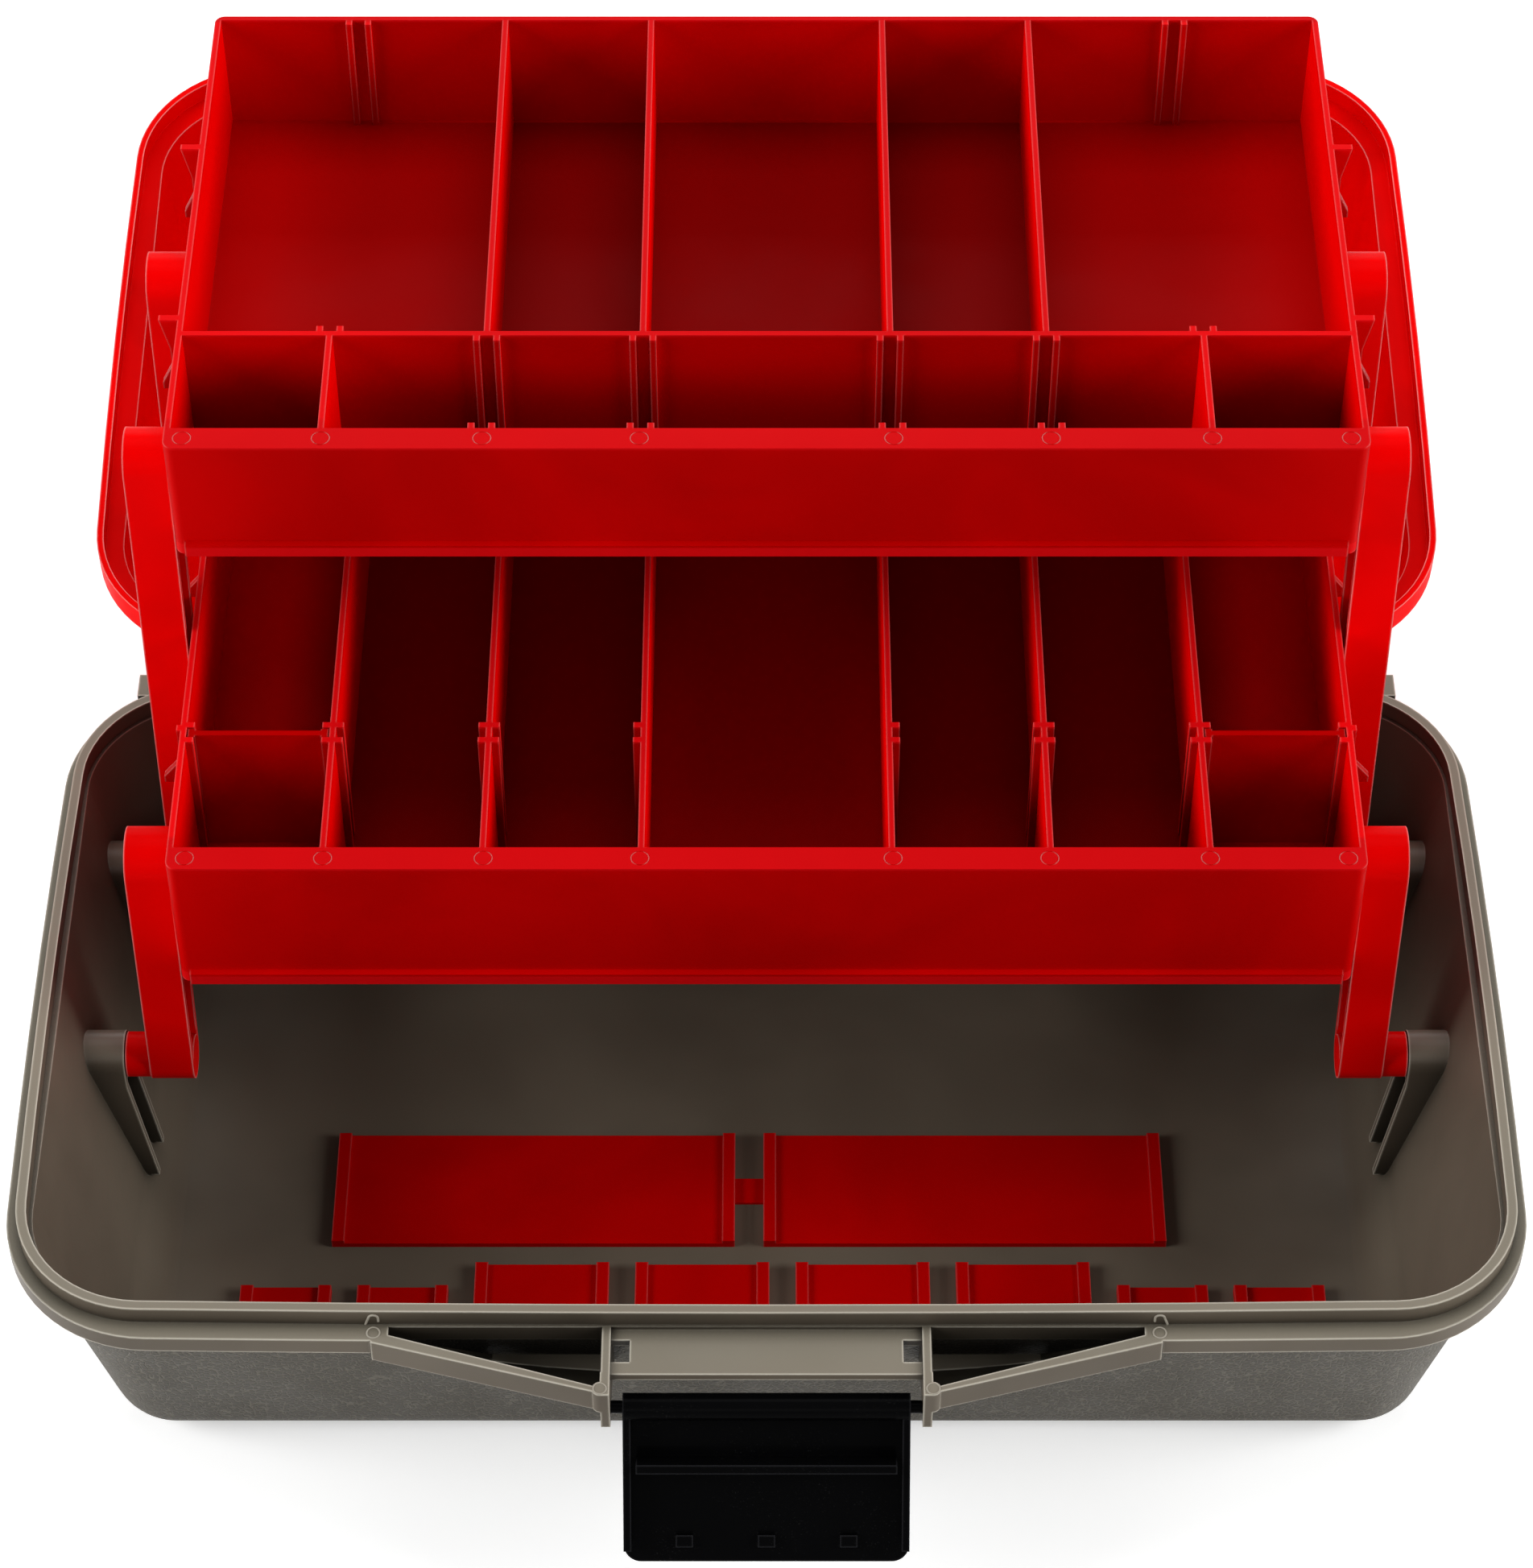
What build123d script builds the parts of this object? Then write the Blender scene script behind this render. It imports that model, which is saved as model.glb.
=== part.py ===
from build123d import *
from math import acos, asin, atan, atan2, cos, degrees, hypot, radians, sin, tan
import os

# Cantilever tool box, standing open, in millimetres.
# X runs to the right, Y to the back, Z up. The origin is on the floor, under the middle of the tub.
# The lid lies back on the floor, and both trays stand up on their folding arms.

# Tub
rim_height = 72.0
rim_half_width = 179.0
rim_half_depth = 103.5
rim_corner = 36.0
rim_bow = 1.6
flange_thick = 2.4
flange_side = 2.6
flange_front = 4.6
skirt_height = 5.0
skirt_thick = 1.8
lip_height = 5.0
wall = 2.4
wall_lean = 17.0
tub_edge_radius = 13.0

# Lid
lid_depth = 76.0
lid_lean = 9.5
lid_edge_radius = 12.0
lid_floor_gap = 0.2
lid_seat_gap = 0.3
groove_clearance = 0.8
lip_clearance = 1.0

# Rear hinge
hinge_back = 7.3
knuckle_radius = 4.0
knuckle_length = 14.5
knuckle_gap = 0.5
hinge_station = 96.0
hinge_shelf_half_width = 163.0
hinge_shelf_reach = 2.8
rod_radius = 1.6
running_gap = 0.06
hinge_leaf_gap = 0.6
front_wall_gap = 0.3
rod_overhang = 1.0

# Folding arms, measured between pivot centres
rear_pivot_from_rim = 43.5
pivot_below_rim = 22.2
lower_arm_span = 66.0
upper_arm_span = 65.2
open_lean = 6.5
arm_clearance = 1.4
arm_width = 10.8
arm_base_radius = 6.0
arm_top_radius = 7.8
arm_flange = 1.8
arm_web = 2.0
arm_hub_radius = 5.0
base_hub_length = 6.0
base_hub_radius = 5.6
base_pin_radius = 3.6
base_pin_length = 7.5
tray_pin_radius = 3.0
tray_pin_length = 8.4
tray_pad_radius = 5.6
side_gap = 0.3

# Pivot brackets inside the tub
boss_radius = 6.0
gusset_thick = 1.8
gusset_offset = 5.1
gusset_foot_in = 4.5
gusset_foot_z = 8.0

# Trays
tray_side_room = 39.0
tray_depth_room = 50.0
lower_tray_height = 41.2
upper_tray_height = 34.8
tray_wall = 1.5
tray_floor = 1.8
tray_ledge = 6.7
tray_bead = 2.2
bead_reach = 1.3
pivot_from_front = 19.0
pivot_from_back = 14.0
lower_pivot_drop = 18.4
upper_pivot_drop = 22.2
tray_stack_gap = 0.6
tray_corner = 2.5
stop_rib_back = 24.5
stop_rib_thick = 1.8
stop_rib_reach = 5.4
stop_rib_root = 1.0
stop_rib_foot = 7.5
stop_rib_head = 4.6
stop_rib_waist = 2.6
side_root = 1.0

# Partitions, guides and dividers
partition = 1.5
corner_pitch = 36.4
side_pitch = 37.3
inner_pitch = 37.0
cross_wall_back = 39.0
cross_slot_back = 43.0
guide_width = 1.6
guide_reach = 1.8
guide_gap = 3.2
divider_thick = 1.5
divider_play = 0.3
divider_end = 3.2
divider_end_thick = 2.6
long_divider_length = 101.5
long_divider_height = 34.0
bridge_length = 7.2
bridge_width = 7.6
bridge_thick = 0.8
wide_divider_height = 30.0
narrow_divider_length = 22.6
narrow_divider_height = 28.0

# Where the spare dividers lie, measured from the edges of the flat part of the tub floor
long_pair_x = -4.4
long_pair_from_front = 57.8
wide_row_from_front = 19.3
narrow_row_from_front = 13.3
row_from_left = 13.5
row_from_right = 5.5

# Front prow, latch bay and latch
prow_half_width = 91.0
prow_reach = 14.5
prow_thick = 2.0
prow_height = 7.0
prow_slope = 20.0
prow_foot_half_width = 60.0
bay_half_width = 38.0
shelf_reach = 12.8
shelf_thick = 2.2
shelf_drop = 1.0
shelf_slot_width = 4.4
shelf_slot_length = 6.0
bay_post_radius = 1.8
cheek_thick = 2.2
cheek_drop = 13.0
cheek_foot_drop = 20.0
latch_pin_drop = 9.5
latch_pin_back = 3.2
latch_pin_radius = 1.5
latch_ear_radius = 3.2
latch_half_width = 33.0
latch_thick = 2.0
latch_length = 42.0
latch_tail = 3.2
latch_side_depth = 3.6
latch_side_thick = 1.8
latch_open_angle = 146.0
latch_tab_width = 4.0
latch_tab_length = 3.0
latch_tab_height = 1.2
latch_tab_spacing = 19.0
latch_end_radius = 4.0
catch_low = 0.6
catch_thick = 2.2
catch_reach = 14.0
catch_web = 2.2
catch_half_width = 30.0
hook_overlap = 2.5
hook_gap = 0.3
hook_thick = 2.2

# Carrying handle on the lid
handle_half_width = 60.0
handle_reach = 30.0
handle_thick = 8.4
handle_leg = 11.0
handle_bar = 15.0
handle_pin_radius = 3.0
handle_pin_length = 4.6
handle_play = 0.5
recess_depth = 6.0
recess_margin = 3.0
recess_wall = 2.0
ear_radius = 5.2
ear_length = 6.5
handle_round = 3.0

os.makedirs("parts", exist_ok=True)

# Places that follow from the sizes above
tray_half_width = rim_half_width - tray_side_room
tray_depth = 2 * rim_half_depth - tray_depth_room
outer_partition_x = tray_half_width - corner_pitch
middle_partition_x = outer_partition_x - side_pitch
inner_partition_x = middle_partition_x - inner_pitch
pivot_spacing = (tray_depth - pivot_from_front - pivot_from_back) / 2
front_pivot_y = rim_half_depth - rear_pivot_from_rim - pivot_spacing
hinge_y = rim_half_depth + hinge_back
knuckle_reach = 1.5 * knuckle_length + knuckle_gap
pivot_z = rim_height - pivot_below_rim
lip_x = rim_half_width - flange_side
lip_y = rim_half_depth - flange_front
lip_corner = rim_corner - flange_front
wall_x = lip_x - rim_bow
wall_y = lip_y - rim_bow
floor_x = wall_x - wall_lean - tub_edge_radius
floor_y = wall_y - wall_lean - tub_edge_radius
tub_taper = degrees(atan(wall_lean / rim_height))
lid_taper = degrees(atan(lid_lean / lid_depth))
arm_inner_x = tray_half_width + arm_clearance
arm_outer_x = arm_inner_x + arm_width
boss_x = arm_outer_x + base_hub_length + side_gap
gusset_foot_x = boss_x - gusset_foot_in
latch_y = -(rim_half_depth + prow_reach - latch_pin_back)
latch_z = rim_height - latch_pin_drop
stack_rise = upper_tray_height - upper_pivot_drop + lower_pivot_drop + tray_stack_gap
fold_lean = -degrees(acos(stack_rise / upper_arm_span))
fold_angle = open_lean - fold_lean


def leaning(y, z, span, lean):
    """The far pivot of an arm that starts at a pivot and leans back by an angle."""
    return y + span * sin(radians(lean)), z + span * cos(radians(lean))


def lid_open_angle():
    """How far the lid swings back before its top edge comes to rest on the floor."""
    edge_in = lid_edge_radius * tan(radians(90 - lid_taper) / 2)
    edge_y = hinge_y - wall_y + lid_lean + edge_in
    edge_z = lid_depth - lid_edge_radius
    lift = lid_edge_radius + lid_floor_gap - rim_height
    tilt = asin(lift / hypot(edge_y, edge_z)) + atan2(edge_z, edge_y)
    return 180 - degrees(tilt)


def block(x0, x1, y0, y1, z0, z1):
    """A plain block between two corners."""
    return Pos((x0 + x1) / 2, (y0 + y1) / 2, (z0 + z1) / 2) * Box(x1 - x0, y1 - y0, z1 - z0)


def bar_x(y, z, radius, x0, x1):
    """A round bar along X."""
    return Pos((x0 + x1) / 2, y, z) * Rot(0, 90, 0) * Cylinder(radius, x1 - x0)


def plate_x(face, x0, x1):
    """A flat shape drawn in Y and Z, made as wide as the span from x0 to x1."""
    return Pos(x0, 0, 0) * extrude(Plane.YZ * face, amount=x1 - x0)


def plate_y(points, y0, y1):
    """An outline given as X and Z, made as thick as the span from y0 to y1."""
    face = make_face(Polyline(*points, close=True))
    return Pos(0, y1, 0) * extrude(Plane.XZ * face, amount=y1 - y0)


def other_side(shape):
    """The same piece on the left of the box."""
    return mirror(shape, about=Plane.YZ)


def both_sides(shape):
    """A piece and its mirror image."""
    return shape + other_side(shape)


def bowed_outline(half_x, half_y, corner):
    """A plan with four slightly bowed sides and round corners."""
    side_x = half_x - rim_bow
    side_y = half_y - rim_bow
    sides = [
        ThreePointArc((side_x, -side_y), (half_x, 0), (side_x, side_y)),
        ThreePointArc((side_x, side_y), (0, half_y), (-side_x, side_y)),
        ThreePointArc((-side_x, side_y), (-half_x, 0), (-side_x, -side_y)),
        ThreePointArc((-side_x, -side_y), (0, -half_y), (side_x, -side_y)),
    ]
    face = make_face(sides)
    return fillet(face.vertices(), corner)


def wall_outline(inset):
    """The plan of a shell wall at the rim, moved inwards by a distance."""
    return RectangleRounded(2 * (wall_x - inset), 2 * (wall_y - inset), lip_corner - inset)


def lip_outline(inset):
    """The bowed plan of the lip that stands on the rim, moved inwards by a distance."""
    return bowed_outline(lip_x - inset, lip_y - inset, lip_corner - inset)


def edge_outline(inset):
    """The bowed plan of the outer flange edge, moved inwards by a distance."""
    return bowed_outline(rim_half_width - inset, rim_half_depth - inset, rim_corner - inset)


def slab(face, z0, z1):
    """A plan outline given its height."""
    return Pos(0, 0, z0) * extrude(face, amount=z1 - z0)


def tapered_bowl(inset, depth, taper, edge_radius):
    """A solid bowl hanging from the rim plane, narrower below, with a round lower edge."""
    bowl = extrude(wall_outline(inset), amount=-depth, taper=taper)
    lower_face = bowl.faces().sort_by(Axis.Z)[0]
    return fillet(lower_face.edges(), edge_radius)


def prow_side(inner_x, half_width, foot_half_width, back, front_in, height, slope):
    """One half of the prow as a solid: an upright band and a slope back to the wall."""
    front = rim_half_depth + prow_reach - front_in
    side = rim_half_depth - front_in
    foot_back = wall_y - (height + slope) * wall_lean / rim_height + back
    top = [(inner_x, -(lip_y + back)), (half_width, -(lip_y + back)), (half_width, -side), (inner_x, -front)]
    foot = [
        (inner_x, -foot_back),
        (foot_half_width, -foot_back),
        (foot_half_width, -(foot_back + prow_thick)),
        (inner_x, -(foot_back + prow_thick)),
    ]
    band = slab(make_face(Polyline(*top, close=True)), -height, 0)
    upper_face = Pos(0, 0, -height) * make_face(Polyline(*top, close=True))
    lower_face = Pos(0, 0, -height - slope) * make_face(Polyline(*foot, close=True))
    return band + loft([upper_face, lower_face], ruled=True)


def prow():
    """The bowed front of a shell, drawn below the rim plane, with a pocket each side of the latch bay."""
    inner_x = bay_half_width - cheek_thick
    outer = prow_side(inner_x, prow_half_width, prow_foot_half_width, -2 * wall, 0, prow_height, prow_slope)
    pocket = prow_side(
        inner_x + prow_thick,
        prow_half_width - 2 * prow_thick,
        prow_foot_half_width - prow_thick,
        front_wall_gap,
        prow_thick,
        prow_height - prow_thick,
        prow_slope - prow_thick,
    )
    return both_sides(outer), both_sides(pocket)


def prow_gap(low, high):
    """The stretch of the straight front rim that the prow takes the place of."""
    half = prow_half_width - prow_thick
    return block(-half, half, -2 * rim_half_depth, -(lip_y + front_wall_gap), low, high)


def hinge_knuckles(first, last, web_low, web_high):
    """Knuckles between two distances from each hinge station, on a web from the rim."""
    knuckles = []
    for station in (-hinge_station, 0, hinge_station):
        for side in (-1, 1):
            x0, x1 = sorted((station + side * first, station + side * last))
            web = block(x0, x1, rim_half_depth - skirt_thick, hinge_y, web_low, web_high)
            knuckles.append(web + bar_x(hinge_y, rim_height, knuckle_radius, x0, x1))
    return knuckles


def rod_bore():
    """The bore that the hinge rod runs in."""
    reach = hinge_station + 2 * knuckle_length
    return bar_x(hinge_y, rim_height, rod_radius + running_gap, -reach, reach)


def pivot_bracket(pivot_y, cavity):
    """A pivot boss on two gusset ribs that stand on the inside of the tub wall."""
    boss = bar_x(pivot_y, pivot_z, boss_radius, boss_x, lip_x)
    outline = [
        (boss_x, pivot_z),
        (boss_x, pivot_z - boss_radius),
        (gusset_foot_x, gusset_foot_z),
        (lip_x, gusset_foot_z),
        (lip_x, pivot_z),
    ]
    bracket = boss
    for side in (-1, 1):
        middle = pivot_y + side * gusset_offset
        bracket += plate_y(outline, middle - gusset_thick / 2, middle + gusset_thick / 2)
    return bracket & cavity


def latch_bay():
    """The shelf above the latch and the inner faces of the two cheeks that hold its pins."""
    front = rim_half_depth + prow_reach
    shelf_z = rim_height - shelf_drop
    shelf = block(-bay_half_width, bay_half_width, -(lip_y + shelf_reach), -(wall_y - wall),
                  shelf_z - shelf_thick, shelf_z)
    slot_x = bay_half_width - cheek_thick
    slot_y = -(lip_y + shelf_reach / 2)
    slot = block(slot_x - shelf_slot_width, slot_x, slot_y - shelf_slot_length / 2,
                 slot_y + shelf_slot_length / 2, 0, rim_height)
    foot_y = wall_y - cheek_foot_drop * wall_lean / rim_height - wall / 2
    outline = [
        (-(wall_y - wall / 2), shelf_z),
        (-(lip_y + shelf_reach), shelf_z),
        (-(lip_y + shelf_reach), rim_height),
        (-front, rim_height),
        (-front, rim_height - cheek_drop),
        (-foot_y, rim_height - cheek_foot_drop),
    ]
    cheek = plate_x(make_face(Polyline(*outline, close=True)), slot_x, bay_half_width)
    post = Pos(bay_half_width, -(front - bay_post_radius), rim_height - prow_height / 2)
    bay = both_sides(cheek + post * Cylinder(bay_post_radius, prow_height)) + shelf
    return bay - both_sides(slot)


def base_tub():
    """The tub with its rim, lip, prow, latch bay, hinge knuckles and pivot brackets."""
    up = Pos(0, 0, rim_height)
    cavity = up * tapered_bowl(wall, rim_height - wall, tub_taper, tub_edge_radius - wall)
    outer = up * tapered_bowl(0, rim_height, tub_taper, tub_edge_radius)
    under = rim_height - flange_thick
    flange = slab(edge_outline(0) - wall_outline(wall), under, rim_height)
    skirt = slab(edge_outline(0) - edge_outline(skirt_thick), rim_height - skirt_height, under)
    prow_body, prow_pocket = prow()
    front_gap = prow_gap(rim_height - skirt_height, rim_height)
    tub = outer + (flange + skirt - front_gap) + up * prow_body - up * prow_pocket
    lip = slab(lip_outline(0) - lip_outline(wall), under, rim_height + lip_height)
    shelf_top = rim_height - hinge_leaf_gap
    hinge_shelf = block(-hinge_shelf_half_width, hinge_shelf_half_width, rim_half_depth - flange_front,
                        rim_half_depth + hinge_shelf_reach, shelf_top - flange_thick, shelf_top)
    tub = tub + hinge_shelf + latch_bay()
    for knuckle in hinge_knuckles(0, knuckle_length / 2, shelf_top - flange_thick, shelf_top):
        tub += knuckle
    tub = tub - cavity + lip
    for pivot_y in (front_pivot_y, front_pivot_y + pivot_spacing):
        right = pivot_bracket(pivot_y, cavity)
        tub += right + other_side(right)
    for pivot_y in (front_pivot_y, front_pivot_y + pivot_spacing):
        bore_end = boss_x + base_pin_length + side_gap
        bore = bar_x(pivot_y, pivot_z, base_pin_radius + running_gap, boss_x - side_gap, bore_end)
        tub -= both_sides(bore)
    tub -= bar_x(latch_y, latch_z, latch_pin_radius + running_gap, -bay_half_width, bay_half_width)
    return tub - rod_bore()


def open_lid(shape):
    """Swing a piece of the closed lid back to where it lies open."""
    return shape.rotate(Axis((0, hinge_y, rim_height), (1, 0, 0)), -lid_open_angle())


def handle_recess():
    """The shallow pan in the lid top that the handle folds into, and its pivot ears."""
    top = rim_height + lid_depth
    floor = top - recess_depth
    half_x = handle_half_width + handle_play
    y0 = -handle_reach / 2 - handle_bar / 2 - recess_margin
    y1 = handle_reach / 2 + ear_radius + recess_margin
    pan = block(-half_x, half_x, y0, y1, floor, top + ear_radius)
    pan_wall = block(-half_x - recess_wall, half_x + recess_wall, y0 - recess_wall, y1 + recess_wall,
                     floor - recess_wall, top - wall / 2)
    pin_z = floor + handle_play + handle_thick / 2
    ear = bar_x(handle_reach / 2, pin_z, ear_radius, half_x, half_x + ear_length)
    bore_end = half_x + handle_pin_length + handle_play
    bore = bar_x(handle_reach / 2, pin_z, handle_pin_radius + running_gap, 0, bore_end)
    return pan, pan_wall, both_sides(ear), both_sides(bore)


def lid_shell():
    """The lid, drawn shut and then swung open."""
    up = Pos(0, 0, rim_height)
    step = lip_height + groove_clearance
    outer = up * mirror(tapered_bowl(0, lid_depth, lid_taper, lid_edge_radius), about=Plane.XY)
    hollow = tapered_bowl(wall, lid_depth - wall, lid_taper, lid_edge_radius - wall)
    cavity = up * mirror(hollow, about=Plane.XY)
    ledge_z = rim_height + step
    below = block(-rim_half_width, rim_half_width, -rim_half_depth, rim_half_depth, 0, ledge_z)
    ledge = slab(edge_outline(0) - wall_outline(wall), ledge_z, ledge_z + flange_thick)
    skirt = slab(edge_outline(0) - edge_outline(skirt_thick), rim_height + lid_seat_gap, ledge_z)
    prow_body, prow_pocket = prow()
    lift = Pos(0, 0, rim_height + lid_seat_gap)
    prow_body = lift * mirror(prow_body, about=Plane.XY)
    prow_pocket = lift * mirror(prow_pocket, about=Plane.XY)
    front_gap = prow_gap(rim_height, ledge_z)
    lip_room = slab(lip_outline(-groove_clearance), rim_height, ledge_z)
    lid = (outer - below) + (ledge + skirt - front_gap) + (prow_body - lip_room) - prow_pocket
    catch_z = rim_height + catch_low
    catch_web_y = -(lip_y + lip_clearance)
    catch = block(-catch_half_width, catch_half_width, -(lip_y + catch_reach), catch_web_y,
                  catch_z, catch_z + catch_thick)
    catch += block(-catch_half_width, catch_half_width, catch_web_y - catch_web, catch_web_y,
                   catch_z, ledge_z + flange_thick)
    leaf_low = rim_height + hinge_leaf_gap
    pan, pan_wall, ears, bores = handle_recess()
    lid = lid + catch - cavity + pan_wall - pan + ears - bores
    knuckle_start = knuckle_length / 2 + knuckle_gap
    for knuckle in hinge_knuckles(knuckle_start, knuckle_reach, leaf_low, leaf_low + flange_thick):
        lid += knuckle
    return open_lid(lid - rod_bore())


def hinge_rod():
    """The steel rod that all the hinge knuckles turn on."""
    reach = hinge_station + knuckle_reach + rod_overhang
    return bar_x(hinge_y, rim_height, rod_radius, -reach, reach)


def lid_handle():
    """The carrying handle, drawn lying in its recess and then swung back with the lid."""
    low = rim_height + lid_depth - recess_depth + handle_play
    pin_z = low + handle_thick / 2
    bar_y = -handle_reach / 2
    high = low + handle_thick
    inner_x = handle_half_width - handle_leg
    outer = block(-handle_half_width, handle_half_width, bar_y - handle_bar / 2, handle_reach / 2, low, high)
    handle = outer - block(-inner_x, inner_x, bar_y + handle_bar / 2, handle_reach / 2, low, high)
    handle = fillet(handle.edges().filter_by(Axis.X).group_by(Axis.Y)[0], handle_round)
    heel = bar_x(handle_reach / 2, pin_z, handle_thick / 2, inner_x, handle_half_width)
    pin_end = handle_half_width + handle_pin_length
    pin = bar_x(handle_reach / 2, pin_z, handle_pin_radius, inner_x + handle_leg / 2, pin_end)
    return open_lid(handle + both_sides(heel + pin))


def latch():
    """The front latch, drawn shut and then swung out and down."""
    face_y = latch_y - latch_ear_radius
    inside_y = face_y + latch_thick
    top = latch_z + latch_length - latch_tail
    panel = block(-latch_half_width, latch_half_width, face_y, inside_y, latch_z, top)
    panel = fillet(panel.edges().filter_by(Axis.Y).group_by(Axis.Z)[-1], latch_end_radius)
    barrel = bar_x(latch_y, latch_z, latch_ear_radius, -latch_half_width, latch_half_width)
    pin_x = bay_half_width - running_gap * 2
    side_x = latch_half_width - latch_side_thick
    shut = panel + barrel + both_sides(bar_x(latch_y, latch_z, latch_pin_radius, side_x, pin_x))
    tab_top = top - latch_end_radius
    side = block(side_x, latch_half_width, face_y, inside_y + latch_side_depth, latch_z, tab_top)
    hook_z = rim_height + catch_low + catch_thick + hook_gap
    hook_y = -(lip_y + catch_reach - hook_overlap)
    root_y = inside_y - latch_thick / 2
    hook = block(-catch_half_width, catch_half_width, root_y, hook_y, hook_z, hook_z + hook_thick)
    shut = shut + both_sides(side) + hook
    for step in (-1, 0, 1):
        middle = step * latch_tab_spacing
        shut += block(middle - latch_tab_width / 2, middle + latch_tab_width / 2, root_y,
                      inside_y + latch_tab_height, tab_top - latch_tab_length, tab_top)
    return shut.rotate(Axis((0, latch_y, latch_z), (1, 0, 0)), latch_open_angle)


def guide_pair_on_wall(wall_x, reach_to, slot_y, floor_z):
    """Two short ribs on the side of a partition that hold a cross divider between them."""
    x0, x1 = sorted((wall_x, wall_x + reach_to))
    pair = []
    for side in (-1, 1):
        middle = slot_y + side * (guide_gap + guide_width) / 2
        pair.append(block(x0, x1, middle - guide_width / 2, middle + guide_width / 2, floor_z, 0))
    return pair


def guide_pair_on_cross_wall(wall_y, reach_to, slot_x, floor_z):
    """Two short ribs on a cross wall that hold a lengthwise divider between them."""
    y0, y1 = sorted((wall_y, wall_y + reach_to))
    pair = []
    for side in (-1, 1):
        middle = slot_x + side * (guide_gap + guide_width) / 2
        pair.append(block(middle - guide_width / 2, middle + guide_width / 2, y0, y1, floor_z, 0))
    return pair


def tray_shell(height, zones):
    """A tray drawn with its front face and rim at zero, hollowed out zone by zone."""
    body = block(-tray_half_width, tray_half_width, 0, tray_depth, -height, 0)
    body = fillet(body.edges().filter_by(Axis.Z), tray_corner)
    fascia_x = tray_half_width - tray_wall
    under = block(-fascia_x, fascia_x, tray_wall, tray_ledge - tray_wall, -height, -tray_wall)
    bead_x = tray_half_width - tray_corner
    bead = bar_x(0, tray_bead - height, tray_bead, -bead_x, bead_x)
    bead = bead & block(-tray_half_width, tray_half_width, -bead_reach, tray_wall, -height, 0)
    body = body - under + bead
    for x0, x1, y0, y1 in zones:
        body -= block(x0, x1, y0, y1, tray_floor - height, 0)
    return body


def stop_rib(rib_y, drop, head, waist):
    """A hooked rib on a tray's side: a head at the rim, a waist, and a foot that reaches out."""
    side = tray_half_width
    outline = [
        (side - side_root, 0),
        (side + head, 0),
        (side + waist, stop_rib_foot - drop + stop_rib_reach),
        (side + waist, stop_rib_foot - drop),
        (side + stop_rib_reach, stop_rib_thick - drop),
        (side + stop_rib_reach, -drop),
        (side - side_root, -drop),
    ]
    return both_sides(plate_y(outline, rib_y, rib_y + stop_rib_thick))


def tray_pivot(place, drop):
    """The pin and pad on both sides of a tray, at a pivot given as its distance from the front."""
    root_x = tray_half_width - side_root
    pin = bar_x(place, -drop, tray_pin_radius, root_x, tray_half_width + tray_pin_length)
    pad = bar_x(place, -drop, tray_pad_radius, root_x, arm_inner_x - side_gap)
    return both_sides(pin + pad)


def spans(walls):
    """The clear spans between a row of partitions, from the left side wall to the right one."""
    inner = tray_half_width - tray_wall
    edges = [-inner]
    for middle in walls:
        edges += [middle - partition / 2, middle + partition / 2]
    edges.append(inner)
    return [(edges[i], edges[i + 1]) for i in range(0, len(edges), 2)]


def both_signs(*values):
    """A row of places and the same places mirrored, from left to right."""
    return sorted([-value for value in values] + list(values))


def lower_tray():
    """The lower tray: seven lengthwise compartments, with slots for cross dividers."""
    walls = both_signs(inner_partition_x, middle_partition_x, outer_partition_x)
    back = tray_depth - tray_wall
    body = tray_shell(lower_tray_height, [(x0, x1, tray_ledge, back) for x0, x1 in spans(walls)])
    floor_z = tray_floor / 2 - lower_tray_height
    sides = [
        (inner_partition_x + partition / 2, guide_reach),
        (middle_partition_x - partition / 2, -guide_reach),
        (middle_partition_x + partition / 2, guide_reach),
        (outer_partition_x - partition / 2, -guide_reach),
        (outer_partition_x + partition / 2, guide_reach),
        (tray_half_width - tray_wall, -guide_reach),
    ]
    for wall_x, reach in sides:
        for guide in guide_pair_on_wall(wall_x, reach, cross_slot_back, floor_z):
            body += both_sides(guide)
    places = [pivot_from_front + step * pivot_spacing for step in range(3)]
    for place in places:
        body += tray_pivot(place, lower_pivot_drop)
    for place in places[:2]:
        body += stop_rib(place + stop_rib_back, lower_pivot_drop, stop_rib_root, stop_rib_root)
    return body


def upper_tray():
    """The upper tray: five compartments at the back, three at the front, and slots for dividers."""
    cross_low = cross_wall_back - partition / 2
    cross_high = cross_wall_back + partition / 2
    back = tray_depth - tray_wall
    rear = both_signs(inner_partition_x, middle_partition_x)
    front = both_signs(outer_partition_x)
    zones = [(x0, x1, cross_high, back) for x0, x1 in spans(rear)]
    zones += [(x0, x1, tray_ledge, cross_low) for x0, x1 in spans(front)]
    body = tray_shell(upper_tray_height, zones)
    floor_z = tray_floor / 2 - upper_tray_height
    for slot_x in both_signs(outer_partition_x):
        for guide in guide_pair_on_cross_wall(back, -guide_reach, slot_x, floor_z):
            body += guide
        for guide in guide_pair_on_cross_wall(cross_high, guide_reach, slot_x, floor_z):
            body += guide
    for slot_x in both_signs(inner_partition_x, middle_partition_x):
        for guide in guide_pair_on_cross_wall(cross_low, -guide_reach, slot_x, floor_z):
            body += guide
        for guide in guide_pair_on_cross_wall(tray_ledge, guide_reach, slot_x, floor_z):
            body += guide
    for place in (pivot_from_front, pivot_from_front + pivot_spacing):
        body += tray_pivot(place, upper_pivot_drop)
        body += stop_rib(place + stop_rib_back, upper_pivot_drop, stop_rib_head, stop_rib_waist)
    return body


def arm_plan(pivots, inset):
    """The outline of an arm: straight sides running tangent to a round at each end."""
    first, last = pivots[0], pivots[-1]
    foot = Pos(*first) * Circle(arm_base_radius - inset)
    head = Pos(*last) * Circle(arm_top_radius - inset)
    return make_hull([*foot.edges(), *head.edges()])


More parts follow.
